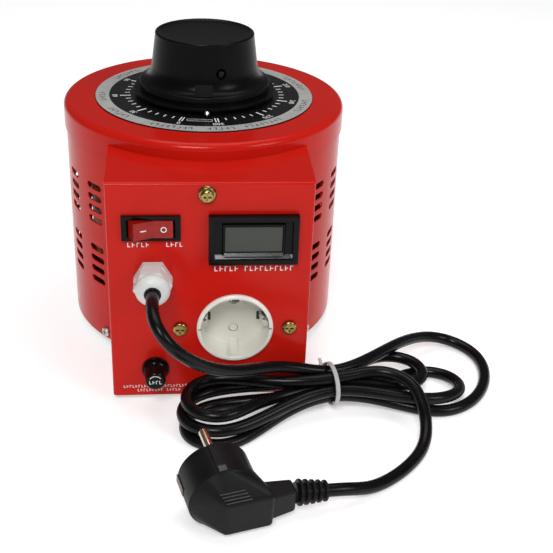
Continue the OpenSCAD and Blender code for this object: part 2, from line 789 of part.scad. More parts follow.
module plug_body() {
    color([0.08, 0.08, 0.08]) in_plug() difference() {
        union() {
            rotate([90, 0, 0]) cylinder(r = plug_r, h = 21, $fn = 64);
            // Slanted back, and the neck that leads to the strain relief
            hull() {
                translate([0, -12, 0]) rotate([90, 0, 0]) cylinder(r = plug_r - 0.6, h = 9, $fn = 48);
                translate([-7.5, -22.5, 13.4]) cube([16.5, 2, 2]);
                translate([-3, -32, -14.5]) cube([25.5, 2, 21]);
            }
            hull() {
                translate([14, -30, -14]) cube([3, 14, 16.5]);
                translate([33, -27, -13]) cube([3, 9, 14]);
            }
        }
        // Guide grooves above and below the face
        for (s = [-1, 1]) translate([-2.6, -17, s * (plug_r - 0.6) - 1.6]) cube([5.2, 18, 3.2]);
        // Earth socket between the pins
        translate([-9.5, 1, 0]) rotate([90, 0, 0]) cylinder(r = 2.6, h = 14);
    }
}

module plug_pins() {
    color("silver") in_plug() for (s = [-1, 1]) translate([0, 0, s * contact_half]) rotate([-90, 0, 0])
        union() {
            translate([0, 0, 0.05]) cylinder(r = 2.4, h = 17.5);
            translate([0, 0, 17.5]) rotate_extrude() polygon([[0, 0], [2.4, 0], [1.5, 1.5], [0, 1.5]]);
        }
}

module plug_earth_strips() {
    color("silver") in_plug() for (s = [-1, 1])
        translate([s * (plug_r + 0.2) - 0.2, -11.5, -2.5]) cube([0.4, 11, 5]);
}

module plug_strain_relief() {
    ribs = 5;
    axis = relief_end - relief_start;
    reach = norm(axis);
    // Space left before the end of the lead
    gap = 0.3;
    color([0.08, 0.08, 0.08]) translate(relief_start)
        rotate([0, acos(axis[2] / reach), atan2(axis[1], axis[0])]) union() {
            cylinder(r1 = 5.6, r2 = 4.2, h = reach - gap, $fn = 48);
            for (k = [0 : ribs - 1])
                translate([0, 0, 1.6 + k * 3.4]) cylinder(r = 6.9 - 0.35 * k, h = 1.7);
        }
}

base_pan();
rubber_feet();
foot_screws();
perforated_shell();
shell_screws();
top_cap();
dial_plate();
control_box();
panel_bracket();
panel_top_screw();
cup_washer();
core_cradle();
core();
core_end_caps();
winding();
clamp_ring();
clamp_bolts();
clamp_nuts();
bearing_post();
shaft_bushes();
end_stop();
collector_spring();
shaft();
thrust_washers();
retaining_ring();
brush_arm();
brush_holder();
carbon_brush();
brush_spring();
knob();
knob_pointer();
knob_set_screw();
switch_body();
switch_rocker();
switch_terminals();
meter_bezel();
meter_window();
meter_case();
socket_body();
contact_sleeves();
earth_clips();
socket_plate();
socket_screws();
gland_body();
gland_dome_nut();
gland_seal();
gland_locknut();
fuse_holder_body();
fuse_nut();
fuse_cap();
fuse_carrier();
fuse_link();
terminal_strip();
inner_wires();
cord();
cord_tie();
plug_body();
plug_pins();
plug_earth_strips();
plug_strain_relief();
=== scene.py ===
import json
import math

import bmesh
import bpy
from mathutils import Matrix, Vector


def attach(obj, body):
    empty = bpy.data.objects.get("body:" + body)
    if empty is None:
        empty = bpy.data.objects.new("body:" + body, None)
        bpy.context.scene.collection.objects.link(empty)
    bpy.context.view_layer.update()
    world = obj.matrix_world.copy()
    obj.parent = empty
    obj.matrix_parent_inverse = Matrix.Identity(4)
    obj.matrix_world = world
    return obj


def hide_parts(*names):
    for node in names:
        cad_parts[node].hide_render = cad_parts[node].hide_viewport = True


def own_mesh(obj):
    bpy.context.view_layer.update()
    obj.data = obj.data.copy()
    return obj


# Looks of a bench variac autotransformer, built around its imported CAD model.
# Shapes are written in millimetres, and put_in_scene brings them to metres.
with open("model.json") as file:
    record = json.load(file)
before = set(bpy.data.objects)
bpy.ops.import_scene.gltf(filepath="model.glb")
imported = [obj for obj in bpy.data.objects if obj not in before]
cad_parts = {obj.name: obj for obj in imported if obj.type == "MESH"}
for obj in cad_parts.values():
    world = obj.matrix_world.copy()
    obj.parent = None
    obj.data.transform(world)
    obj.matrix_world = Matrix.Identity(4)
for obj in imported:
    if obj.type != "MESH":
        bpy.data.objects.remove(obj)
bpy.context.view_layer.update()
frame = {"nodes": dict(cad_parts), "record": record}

BODY_OF = {node: body for body, nodes in frame["record"]["behaviour"]["bodies"].items()
           for node in nodes}
SLOT_OF = {part["node"]: part["material_slot"] for part in frame["record"]["subparts"]}
MM_PER_M = 1000

# ---- Facts shared with the CAD model, in millimetres and degrees ----
SHELL_R, SHELL_LOW, SHELL_HIGH, SHEET = 85.0, 9.6, 145.0, 0.9
CAP_R, CAP_TOP, CAP_SKIRT, CAP_HOLE_R = 86.0, 149.6, 133.7, 9.0
DIAL_R, DIAL_FACE = 67.0, CAP_TOP + 0.7
BOX_FRONT = 113.2
SWITCH_AT, METER_AT, SOCKET_AT = (-32.1, 113.15), (23.4, 106.35), (14.2, 49.4)
FUSE_AT, FUSE_CAP_END = (-31.3, 22.6), 14.1
ROCKER_PIVOT, ROCKER_TIP = -2.2, 10
PLUG_AT, PLUG_TURN, PLUG_TILT, PLUG_R = (-1.8, -203.5, 21.0), 15.0, 6.0, 18.5
RELIEF_START, RELIEF_END = Vector((39.4, -213.6, 12.7)), Vector((56.5, -210.7, 11.0))
TIE_AT, TIE_TURN, TIE_R = (70.0, -124.0, 16.5), 12.5, 12.4
CORD_R = 3.5

# ---- Camera, placed in metres, with its lens in millimetres ----
CAMERA_AT = Vector((-0.01901, -0.60792, 0.35311))
PITCH, YAW, ROLL = math.radians(28.55), math.radians(6.44), math.radians(2.42)
LENS, SENSOR_WIDTH = 66.1, 36.0


def make_camera():
    forward = Vector((math.sin(YAW) * math.cos(PITCH), math.cos(YAW) * math.cos(PITCH),
                      -math.sin(PITCH)))
    level = forward.cross(Vector((0, 0, 1))).normalized()
    upright = level.cross(forward)
    right = level * math.cos(ROLL) + upright * math.sin(ROLL)
    up = upright * math.cos(ROLL) - level * math.sin(ROLL)
    data = bpy.data.cameras.new("camera")
    data.lens, data.sensor_width = LENS, SENSOR_WIDTH
    camera = bpy.data.objects.new("camera", data)
    bpy.context.scene.collection.objects.link(camera)
    turn = Matrix((right, up, -forward)).transposed().to_4x4()
    camera.matrix_world = Matrix.Translation(CAMERA_AT) @ turn
    bpy.context.scene.camera = camera


make_camera()

# ---- Materials ----
LOOKS = {}
NOISE_LOW, NOISE_HIGH = 0.3, 0.7
PATCH_DETAIL, GRAIN_DETAIL = 4.0, 2.0


def noise(tree, scale, detail, stretch):
    """A noise texture over the object's own coordinates, in metres."""
    nodes, links = tree.nodes, tree.links
    place = nodes.new("ShaderNodeTexCoord")
    mapping = nodes.new("ShaderNodeMapping")
    mapping.inputs["Scale"].default_value = stretch
    texture = nodes.new("ShaderNodeTexNoise")
    texture.inputs["Scale"].default_value = scale
    texture.inputs["Detail"].default_value = detail
    links.new(place.outputs["Object"], mapping.inputs["Vector"])
    links.new(mapping.outputs["Vector"], texture.inputs["Vector"])
    return texture.outputs["Fac"]


def math_node(tree, kind, a, b=None):
    """A maths node, whose inputs are numbers or other nodes' outputs."""
    node = tree.nodes.new("ShaderNodeMath")
    node.operation = kind
    for socket, value in ((node.inputs[0], a), (node.inputs[1], b)):
        if isinstance(value, (int, float)):
            socket.default_value = value
        elif value is not None:
            tree.links.new(value, socket)
    return node.outputs[0]


def ramp(tree, factor, stops):
    """A colour that follows a factor through stops of (place, colour)."""
    node = tree.nodes.new("ShaderNodeValToRGB")
    elements = node.color_ramp.elements
    for element, (place, colour) in zip(elements, stops):
        element.position = place
        element.color = (*colour, 1)
    tree.links.new(factor, node.inputs["Fac"])
    return node.outputs["Color"]


def spread(tree, factor, low, high):
    """Stretches a noise's usual range to the range from low to high."""
    node = tree.nodes.new("ShaderNodeMapRange")
    node.inputs["From Min"].default_value = NOISE_LOW
    node.inputs["From Max"].default_value = NOISE_HIGH
    node.inputs["To Min"].default_value = low
    node.inputs["To Max"].default_value = high
    tree.links.new(factor, node.inputs["Value"])
    return node.outputs["Result"]


def add_bump(tree, height, strength, distance):
    bump = tree.nodes.new("ShaderNodeBump")
    bump.inputs["Strength"].default_value = strength
    bump.inputs["Distance"].default_value = distance
    tree.links.new(height, bump.inputs["Height"])
    tree.links.new(bump.outputs["Normal"], tree.nodes["Principled BSDF"].inputs["Normal"])


def look(name, colour, rough, metal=0.0, vary=0.12, scale=45, stretch=(1, 1, 1), rough_vary=0.25,
         grain=900, bump=0.0, depth=0.0002, coat=0.0, transmission=0.0, specular=0.5):
    """Adds to LOOKS a material whose colour, roughness and surface vary with noise."""
    material = bpy.data.materials.new(name)
    material.use_nodes = True
    tree = material.node_tree
    shader = tree.nodes["Principled BSDF"]
    patches = noise(tree, scale, PATCH_DETAIL, stretch)
    dark = [c * (1 - vary) for c in colour]
    light = [min(1.0, c * (1 + vary)) for c in colour]
    tint = ramp(tree, patches, [(NOISE_LOW, dark), (NOISE_HIGH, light)])
    tree.links.new(tint, shader.inputs["Base Color"])
    grains = noise(tree, grain, GRAIN_DETAIL, stretch)
    tree.links.new(spread(tree, grains, rough * (1 - rough_vary), min(1.0, rough * (1 + rough_vary))),
                   shader.inputs["Roughness"])
    shader.inputs["Metallic"].default_value = metal
    shader.inputs["Coat Weight"].default_value = coat
    shader.inputs["Transmission Weight"].default_value = transmission
    shader.inputs["Specular IOR Level"].default_value = specular
    if bump:
        add_bump(tree, grains, bump, depth)
    LOOKS[name] = material
    return material


def place_parts(tree):
    """The X, Y and Z of the object's own coordinates, whose origin is on the shaft's axis."""
    place = tree.nodes.new("ShaderNodeTexCoord")
    parts = tree.nodes.new("ShaderNodeSeparateXYZ")
    tree.links.new(place.outputs["Object"], parts.inputs[0])
    return parts.outputs


def wound_copper():
    """Enamelled copper, with ridges for the turns of wire about the ring, and painted shade that darkens
    the grooves between the turns.
    """
    ridges = 440
    tree = look("copper", (0.46, 0.17, 0.06), 0.3, metal=0.9, vary=0.15, scale=60).node_tree
    parts = place_parts(tree)
    angle = math_node(tree, "ARCTAN2", parts["Y"], parts["X"])
    wave = math_node(tree, "SINE", math_node(tree, "MULTIPLY", angle, ridges / 2))
    height = math_node(tree, "ABSOLUTE", wave)
    # painted shade: the colour goes near black in the grooves between turns
    tint = ramp(tree, height, [(0.05, (0.06, 0.02, 0.01)), (0.5, (0.48, 0.18, 0.065))])
    tree.links.new(tint, tree.nodes["Principled BSDF"].inputs["Base Color"])
    add_bump(tree, height, 0.8, 0.0005)


def strip_steel():
    """Edges of the strip wound into the core, as fine rings."""
    waves = 2600.0  # radians of wave per metre of radius
    tree = look("core_steel", (0.3, 0.3, 0.32), 0.45, metal=0.8, vary=0.15).node_tree
    parts = place_parts(tree)
    square = math_node(tree, "ADD", math_node(tree, "POWER", parts["X"], 2.0),
                       math_node(tree, "POWER", parts["Y"], 2.0))
    radius = math_node(tree, "SQRT", square)
    wave = math_node(tree, "SINE", math_node(tree, "MULTIPLY", radius, waves))
    tint = ramp(tree, wave, [(0.2, (0.12, 0.12, 0.13)), (0.9, (0.36, 0.36, 0.38))])
    tree.links.new(tint, tree.nodes["Principled BSDF"].inputs["Base Color"])


# Metal, bare, plated or painted
look("red_enamel", (0.51, 0.010, 0.005), 0.2, vary=0.04, scale=16, grain=420, rough_vary=0.06,
     specular=0.12, coat=0.05)
look("zinc_steel", (0.55, 0.55, 0.53), 0.38, metal=0.9, scale=120)
look("yellow_zinc", (0.33, 0.25, 0.09), 0.24, metal=1.0, vary=0.35, scale=420)
look("cast_aluminium", (0.6, 0.6, 0.6), 0.5, metal=0.9, grain=700, bump=0.4)
look("bronze", (0.5, 0.33, 0.15), 0.4, metal=1.0, vary=0.2, scale=300)
look("steel_shaft", (0.58, 0.58, 0.58), 0.2, metal=1.0, stretch=(1, 1, 14))
look("spring_steel", (0.42, 0.42, 0.42), 0.3, metal=1.0, scale=300)
look("bright_metal", (0.82, 0.82, 0.82), 0.12, metal=1.0, vary=0.06, scale=300)
look("contact_brass", (0.7, 0.55, 0.26), 0.25, metal=1.0, scale=300)
look("plug_pin", (0.66, 0.56, 0.42), 0.2, metal=1.0, vary=0.1, scale=300)
look("dark_strip", (0.10, 0.085, 0.07), 0.4, metal=0.8, vary=0.2, scale=300)
look("clip_metal", (0.78, 0.77, 0.72), 0.34, metal=0.5, vary=0.12, scale=300)
look("ring_silver", (0.52, 0.52, 0.50), 0.42, metal=0.4, vary=0.08, scale=150)
wound_copper()
strip_steel()

# Plastic, rubber and carbon
look("dial_black", (0.006, 0.006, 0.006), 0.3, vary=0.3, scale=60, specular=0.25)
look("knob_black", (0.003, 0.0028, 0.0032), 0.28, vary=0.25, scale=50, grain=1500, rough_vary=0.12,
     specular=0.1)
look("black_plastic", (0.0028, 0.0028, 0.0034), 0.16, vary=0.25, scale=80, specular=0.13)
look("gloss_black", (0.016, 0.016, 0.018), 0.2, vary=0.2, scale=80, specular=0.9)
look("ivory_plastic", (0.76, 0.75, 0.68), 0.35, vary=0.03, scale=60)
# painted shade: olive-brown for the face of the outlet's key
look("olive_key_shade", (0.085, 0.08, 0.05), 0.4, vary=0.2, scale=300)
look("white_nylon", (0.64, 0.65, 0.63), 0.42, vary=0.03, scale=120, bump=0.05)
look("phenolic", (0.24, 0.12, 0.06), 0.5, vary=0.3, scale=60, stretch=(1, 4, 1))
look("rubber", (0.025, 0.025, 0.025), 0.75, scale=200, bump=0.3)
look("seal_rubber", (0.014, 0.014, 0.014), 0.6, scale=300, bump=0.2)
look("wire_pvc", (0.25, 0.12, 0.06), 0.4, vary=0.3, scale=200)
look("cord_pvc", (0.0035, 0.0033, 0.0042), 0.26, vary=0.3, scale=70, grain=500, rough_vary=0.1,
     specular=0.17)
look("plug_rubber", (0.0055, 0.0052, 0.006), 0.42, vary=0.25, scale=80, grain=1800, bump=0.12,
     depth=0.00005, specular=0.15)
# painted highlight: a lighter grey for the plug's raised ridges and key
look("ridge_highlight_grey", (0.045, 0.045, 0.048), 0.4, vary=0.2, scale=200)
look("tie_grey", (0.42, 0.42, 0.42), 0.4, vary=0.08, scale=200)
look("carbon", (0.04, 0.04, 0.045), 0.6, vary=0.3, scale=400, bump=0.3)

# Glass and lenses
look("red_lens", (0.30, 0.006, 0.003), 0.12, vary=0.35, scale=150, coat=0.08, transmission=0.08,
     specular=0.25)
look("meter_glass", (0.041, 0.046, 0.036), 0.2, vary=0.05, scale=40, specular=0.35)
look("fuse_glass", (0.7, 0.72, 0.72), 0.08, vary=0.05, transmission=0.7)

# Printed marks, with the black also used as painted shade in the outlet's slots
look("mark_white", (0.8, 0.8, 0.8), 0.5, vary=0.05, scale=300)
look("black_print_and_shade", (0.02, 0.02, 0.02), 0.5, vary=0.2, scale=300)

# ---- Making shapes ----
HERE = Matrix.Identity(4)  # leaves a shape where it is


def put_in_scene(name, bm, place=HERE):
    """A new object from a bmesh in millimetres, placed in the object's frame."""
    bmesh.ops.recalc_face_normals(bm, faces=bm.faces)
    mesh = bpy.data.meshes.new(name)
    bm.to_mesh(mesh)
    bm.free()
    mesh.transform(Matrix.Scale(1 / MM_PER_M, 4) @ place)
    made = bpy.data.objects.new(name, mesh)
    bpy.context.scene.collection.objects.link(made)
    return made


def lathe(outline, steps=96):
    """A solid turned about Z from a closed outline of (radius, height)."""
    bm = bmesh.new()
    rings = []
    for radius, z in outline:
        count = steps if radius else 1
        rings.append([bm.verts.new((radius * math.cos(math.tau * k / steps),
                                    radius * math.sin(math.tau * k / steps), z))
                      for k in range(count)])
    for i, low in enumerate(rings):
        high = rings[(i + 1) % len(rings)]
        if len(low) == 1 and len(high) == 1:
            continue
        for k in range(steps):
            n = (k + 1) % steps
            corners = [low[k % len(low)], low[n % len(low)], high[n % len(high)], high[k % len(high)]]
            bm.faces.new(list(dict.fromkeys(corners)))
    return bm


def prism(outline, low, high):
    """An upright solid on an outline of (x, y)."""
    bm = bmesh.new()
    floor = [bm.verts.new((x, y, low)) for x, y in outline]
    roof = [bm.verts.new((x, y, high)) for x, y in outline]
    bm.faces.new(floor[::-1])
    bm.faces.new(roof)
    for i in range(len(outline)):
        j = (i + 1) % len(outline)
        bm.faces.new((floor[i], floor[j], roof[j], roof[i]))
    return bm


def block(low, high):
    """A box between two corners."""
    x0, y0, z0 = low
    x1, y1, z1 = high
    return prism([(x0, y0), (x1, y0), (x1, y1), (x0, y1)], z0, z1)


def slab(rectangle, low, high):
    """A thin box over a rectangle of (left, bottom, right, top)."""
    left, bottom, right, top = rectangle
    return block((left, bottom, low), (right, top, high))


def hull_of(points):
    """The convex solid round some points."""
    bm = bmesh.new()
    for p in points:
        bm.verts.new(p)
    bmesh.ops.convex_hull(bm, input=bm.verts)
    return bm


def joined(*parts):
    """One bmesh from several (bmesh, matrix) pairs."""
    whole = bmesh.new()
    for bm, place in parts:
        bmesh.ops.recalc_face_normals(bm, faces=bm.faces)
        mesh = bpy.data.meshes.new("part")
        bm.to_mesh(mesh)
        bm.free()
        mesh.transform(place)
        whole.from_mesh(mesh)
        bpy.data.meshes.remove(mesh)
    return whole


def arc(cx, cy, r, start, end, steps):
    """Points on a circle about (cx, cy), from one angle to another, in degrees."""
    return [(cx + r * math.cos(math.radians(start + (end - start) * k / steps)),
             cy + r * math.sin(math.radians(start + (end - start) * k / steps)))
            for k in range(steps + 1)]


def stadium(width, height):
    """The outline of a slot with round ends."""
    half, steps = (width - height) / 2, 6
    return arc(half, 0, height / 2, -90, 90, steps) + arc(-half, 0, height / 2, 90, 270, steps)


def apply_modifiers(obj):
    graph = bpy.context.evaluated_depsgraph_get()
    mesh = bpy.data.meshes.new_from_object(obj.evaluated_get(graph))
    obj.modifiers.clear()
    obj.data = mesh


def combine(obj, other, operation):
    """Cuts another object out of a piece, or adds it to the piece, and removes the other."""
    change = obj.modifiers.new("combine", "BOOLEAN")
    change.object, change.operation, change.solver = other, operation, "EXACT"
    apply_modifiers(obj)
    bpy.data.objects.remove(other)


def carve(obj, bm, place=HERE):
    """Cuts a shape out of a piece."""
    combine(obj, put_in_scene("cutter", bm, place), "DIFFERENCE")


def soften(obj, width, segments=2, sharper_than=30):
    """Rounds the sharp edges by a width in millimetres."""
    change = obj.modifiers.new("soften", "BEVEL")
    change.width, change.segments = width / MM_PER_M, segments
    change.limit_method, change.angle_limit = "ANGLE", math.radians(sharper_than)
    apply_modifiers(obj)


def shade(obj, sharper_than):
    """Smooth shading that keeps sharp edges, with large faces shaded flat."""
    obj.data.shade_smooth()
    obj.data.set_sharp_from_angle(angle=math.radians(sharper_than))
    even = obj.modifiers.new("even", "WEIGHTED_NORMAL")
    even.mode, even.keep_sharp = "FACE_AREA", True
    apply_modifiers(obj)


def finish_piece(obj, slot, body="housing", replaces=(), paint=None, sharper_than=35):
    """Gives a piece its shading, its material from its paint or else its slot, and its body, and hides the
    CAD nodes it stands for.
    """
    shade(obj, sharper_than)
    obj.data.materials.clear()
    obj.data.materials.append(LOOKS[paint or slot])
    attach(obj, body)
    if replaces:
        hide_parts(*replaces)
    return obj


def shift(x, y, z):
    return Matrix.Translation((x, y, z))


def spin(angle, axis="Z"):
    return Matrix.Rotation(math.radians(angle), 4, axis)


def panel(at):
    """Local X right, Y up and Z out of the front panel, at x, z."""
    return shift(at[0], -BOX_FRONT, at[1]) @ spin(90, "X")


def along(start, end):
    """Local Z runs from start to end."""
    return shift(*start) @ (end - start).to_track_quat("Z", "Y").to_matrix().to_4x4()


def node_copy(node, name):
    """A new object with a CAD node's shape, its flat faces made whole."""
    weld, flat = 3e-6, math.radians(1)
    bm = bmesh.new()
    bm.from_mesh(frame["nodes"][node].data)
    bmesh.ops.remove_doubles(bm, verts=bm.verts, dist=weld)
    bmesh.ops.dissolve_limit(bm, angle_limit=flat, verts=bm.verts, edges=bm.edges)
    bmesh.ops.scale(bm, vec=(MM_PER_M, MM_PER_M, MM_PER_M), verts=bm.verts)
    return put_in_scene(name, bm)


def refine(node, name, width=0.0, segments=2, sharper_than=30, shade_at=35, paint=None):
    """Stands for a CAD node with the same shape and softer edges."""
    made = node_copy(node, name)
    if width:
        soften(made, width, segments, sharper_than)
    return finish_piece(made, SLOT_OF[node], BODY_OF[node], (node,), paint, shade_at)


# ---- Mains lead ----
ROUTE = [
    (-31.6, -125, 82.9), (-31.6, -134, 82.9), (-31.6, -144, 83.5), (-31.4, -155, 83),
    (-28.5, -163.5, 79), (-22, -167, 71), (-13, -163.5, 60.5), (-1, -155, 49),
    (16, -143, 38.5), (42, -123.5, 31), (69.5, -122.5, 21), (95, -109, 23),
    (118, -84, 19), (140, -62, 10), (160, -59, 4), (174, -78, 3.5),
    (171, -105, 3.5), (156, -129, 3.5), (132, -140, 3.5), (102, -127, 6.5),
    (70, -125.5, 12), (43, -136, 7), (25, -151, 3.5), (7, -165, 3.5),
    (-14, -158, 3.5), (-17, -137, 3.5), (0, -122, 3.5), (36, -125, 6.5),
    (71, -121, 12), (96, -113, 7), (114, -101, 3.5), (132, -92, 3.5),
    (150, -101, 4.5), (152, -123, 8), (130, -138, 12), (101, -132, 14),
    (71.5, -128.8, 18), (43, -140, 14), (23, -153, 11), (3, -162, 11),
    (-16, -153, 11), (-18, -133, 11), (1, -118, 11), (38, -121, 14.3),
    (71, -119.3, 18), (88, -102, 14), (106, -86, 11.5), (126, -91, 11),
    (132, -110, 11), (115, -126, 13), (92, -121, 15.5), (71.5, -123, 17.5),
    (42, -130, 13), (24, -143, 17.5), (7, -159, 18.5), (-13, -152, 18.5),
    (-16, -131, 18.5), (1, -115, 18.5), (39, -131.5, 22.5), (72.5, -128.5, 22.8),
    (96, -121, 24), (110, -127, 23.5), (119, -138, 21), (122, -152, 9),
    (118, -168, 3.5), (106, -184, 3.5), (92, -196, 3.5), (80, -203.5, 5),
    (68, -208.7, 9.9), (56.5, -210.7, 11)]


def smooth_route():
    """Points in metres on the cubic curve that the route steers, as the CAD tube follows it."""
    steps, weight_sum = 8, 6
    p = [Vector(q) for q in ROUTE]
    p = [2 * p[0] - p[1]] + p + [2 * p[-1] - p[-2]]
    points = []
    for i in range(len(ROUTE) - 1):
        for k in range(steps):
            u = k / steps
            points.append(((1 - u) ** 3 * p[i] + (3 * u ** 3 - 6 * u * u + 4) * p[i + 1]
                           + (3 * u * u - 3 * u ** 3 + 3 * u + 1) * p[i + 2] + u ** 3 * p[i + 3])
                          / (weight_sum * MM_PER_M))
    points.append(Vector(ROUTE[-1]) / MM_PER_M)
    return points


def make_cord(line):
    """The mains lead, a round tube along a line of points."""
    data = bpy.data.curves.new("mains_lead", "CURVE")
    data.dimensions = "3D"
    spline = data.splines.new("POLY")
    spline.points.add(len(line) - 1)
    for point, at in zip(spline.points, line):
        point.co = (*at, 1)
    spline.use_smooth = True
    data.bevel_depth, data.bevel_resolution = CORD_R / MM_PER_M, 5
    data.use_fill_caps = True
    lead = bpy.data.objects.new("mains_lead", data)
    bpy.context.scene.collection.objects.link(lead)
    data.materials.append(LOOKS["cord_pvc"])
    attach(lead, "housing")
    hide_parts("cord")
    return lead


lead_line = smooth_route()
lead = make_cord(lead_line)

# ---- Plug, strain relief and tie ----
# Local Y points out of the plug's face, along its pins
IN_PLUG = shift(*PLUG_AT) @ spin(PLUG_TURN) @ spin(PLUG_TILT, "X")
# Turns Z back from the face, into the plug
BACKWARD = spin(90, "X")
# Y and Z of the slanted back's upper and lower ends
SLANT_TOP, SLANT_FOOT = (-22.5, 15.4), (-32.0, 6.5)


def plug_front():
    """The round front, with two guide grooves and a hole for a socket's earth pin."""
    depth, groove_half, groove_depth = 21.0, 0.8, 1.1
    shape = lathe([(0, 0), (PLUG_R - 0.9, 0), (PLUG_R - 0.3, 0.3), (PLUG_R, 0.9), (PLUG_R, depth - 0.4),
                   (PLUG_R - 0.4, depth), (0, depth)])
    body = put_in_scene("plug", shape, IN_PLUG @ BACKWARD)
    for angle in (-13, 167):
        groove = block((-groove_half, -depth - 0.6, PLUG_R - groove_depth), (groove_half, 1.0, PLUG_R + 2))
        carve(body, groove, IN_PLUG @ spin(angle, "Y"))
    earth_r, earth_depth, earth_x = 2.6, 15, -9.5
    earth_hole = lathe([(0, 0), (earth_r, 0), (earth_r, earth_depth), (0, earth_depth)], 32)
    carve(body, earth_hole, IN_PLUG @ shift(earth_x, 1, 0) @ BACKWARD)
    return body


def plug_slant():
    """The slanted back, a hull from the round front to the rounded back of a wedge."""
    start, end, half = -12.0, -21.0, 17.9
    ring = [(x, y, z) for y in (start, end) for x, z in arc(0, 0, PLUG_R - 0.6, 0, 352.5, 47)]
    front = [(x, start, z) for x in (-half, half) for z in (-half, half)]
    top = [(x, *SLANT_TOP) for x in (-7.5, 9.0)]
    back = [(x, SLANT_FOOT[0], z) for x in (-3.0, 22.5) for z in (-14.5, SLANT_FOOT[1])]
    wedge = put_in_scene("wedge", hull_of(front + top + back))
    soften(wedge, 2.4, segments=4, sharper_than=20)
    behind_ring = (end + 0.5) / MM_PER_M
    rounded = [MM_PER_M * v.co for v in wedge.data.vertices if v.co.y < behind_ring]
    bpy.data.objects.remove(wedge)
    return put_in_scene("slant", hull_of(ring + rounded), IN_PLUG)


def plug_neck():
    """The neck that runs from the slanted back to the strain relief."""
    near = [(14.0, y, z) for y in (-30.0, -16.0) for z in (-14.0, 2.5)]
    far = [(36.0, y, z) for y in (-27.0, -18.0) for z in (-13.0, 1.0)]
    neck = put_in_scene("neck", hull_of(near + far), IN_PLUG)
    soften(neck, 1.4, segments=3, sharper_than=40)
    return neck


def mend(obj):
    """Takes out the slivers that a union leaves."""
    sliver = 3e-5
    bm = bmesh.new()
    bm.from_mesh(obj.data)
    bmesh.ops.remove_doubles(bm, verts=bm.verts, dist=sliver)
    bmesh.ops.dissolve_degenerate(bm, edges=bm.edges, dist=sliver)
    bm.to_mesh(obj.data)
    bm.free()


def make_plug():
    """The moulded plug: a round front, a slanted back and a neck."""
    body = plug_front()
    combine(body, plug_slant(), "UNION")
    combine(body, plug_neck(), "UNION")
    mend(body)
    return finish_piece(body, "plug_rubber", replaces=("plug_body",), sharper_than=38)


def make_grips():
    """Thin ridges on the slanted back of the plug, and the key at its guide groove's end, painted a
    lighter grey as a painted highlight on their raised edges.
    """
    count, pitch, width, low, high = 4, 1.6, 0.45, -0.3, 0.5
    sideways = Vector((1, 0, 0))
    slope = Vector((0, SLANT_TOP[0] - SLANT_FOOT[0], SLANT_TOP[1] - SLANT_FOOT[1])).normalized()
    lie = Matrix((sideways, slope, sideways.cross(slope))).transposed().to_4x4()
    on_slant = IN_PLUG @ shift(0, *SLANT_FOOT) @ lie
    parts = []
    for i in range(count):
        start = 1.0 + pitch * i
        parts.append((slab((-2.6 - 0.8 * i, start, 10.5 - 0.9 * i, start + width), low, high), on_slant))
    parts.append((block((-3.2, -20.0, 17.0), (0.8, -16.6, 19.2)), IN_PLUG))
    grips = put_in_scene("plug_grips", joined(*parts))
    soften(grips, 0.12, sharper_than=40)
    # the lighter grey paint is a painted highlight on the raised ridges and key
    return finish_piece(grips, "plug_rubber", paint="ridge_highlight_grey")


def make_relief():
    """The ribbed sleeve between the plug and the lead, narrower toward the lead."""
    ribs, pitch, width, edge = 5, 3.4, 1.6, 0.3
    length = (RELIEF_END - RELIEF_START).length
    outline = [(0, 0), (5.4, 0)]
    for k in range(ribs):
        low = 1.5 + k * pitch
        high = low + width
        rib, neck = 6.9 - 0.35 * k, 4.7 - 0.15 * k
        outline += [(neck, low), (rib - edge, low), (rib, low + edge), (rib, high - edge),
                    (rib - edge, high), (neck, high)]
    outline += [(4.1, length), (0, length)]
    relief = put_in_scene("strain_relief", lathe(outline, 48), along(RELIEF_START, RELIEF_END))
    return finish_piece(relief, "plug_rubber", replaces=("plug_strain_relief",))


def make_tie():
    """The band round the hank, with its head and the end that sticks out of it."""
    half, inside, outside, head_angle = 1.3, TIE_R - 0.45, TIE_R + 0.55, 100
    section = [(inside, -half), (outside - 0.2, -half), (outside, 0.3 - half),
               (outside, half - 0.3), (outside - 0.2, half), (inside, half)]
    head = block((-2.4, -1.9, -2.2), (2.4, 1.9, 2.2))
    tail = block((-0.5, -1.2, -0.9), (7.5, -0.2, 0.9))
    around = joined((lathe(section, 72), HERE),
                    (head, spin(head_angle) @ shift(TIE_R + 1.2, 0, 0)),
                    (tail, spin(head_angle) @ shift(TIE_R + 0.9, 0, 0) @ spin(15)))
    tie = put_in_scene("cord_tie_band", around, shift(*TIE_AT) @ spin(TIE_TURN) @ spin(90, "Y"))
    soften(tie, 0.2, sharper_than=40)
    return finish_piece(tie, "tie_grey", replaces=("cord_tie",))


plug = make_plug()
plug_grips = make_grips()
relief = make_relief()
tie = make_tie()
plug_pins = refine("plug_pins", "plug_contacts", 0.3)
plug_strips = refine("plug_earth_strips", "plug_side_strips", 0.1, segments=1, paint="dark_strip")

# ---- Casing ----
TURNED_STEPS = 256


def make_shell():
    """The round wall, with columns of slots round its back and an opening behind the control box."""
    inside = SHELL_R - SHEET
    wall = put_in_scene("slotted_shell", lathe(
        [(SHELL_R, SHELL_LOW), (SHELL_R, SHELL_HIGH), (inside, SHELL_HIGH), (inside, SHELL_LOW)],
        TURNED_STEPS))
    columns, column_step = 16, 17.14
    row_pitch, slot_width, slot_height, cut = 7.2, 13.4, 4.0, 4
    rows = [start + i * row_pitch for start in (48.4, 89.2) for i in range(4)]
    slots = []
    for k in range(columns):
        angle = 180 + (k - (columns - 1) / 2) * column_step
        for z in rows:
            slots.append((prism(stadium(slot_width, slot_height), -cut, cut),
                          spin(angle) @ shift(0, -SHELL_R, z) @ spin(90, "X")))
    carve(wall, joined(*slots))
    opening = block((-46, -100, SHELL_LOW - 1), (46, -40, 125))
    carve(wall, opening)
    soften(wall, 0.25, sharper_than=50)
    finish_piece(wall, "red_enamel", replaces=("perforated_shell",), sharper_than=40)


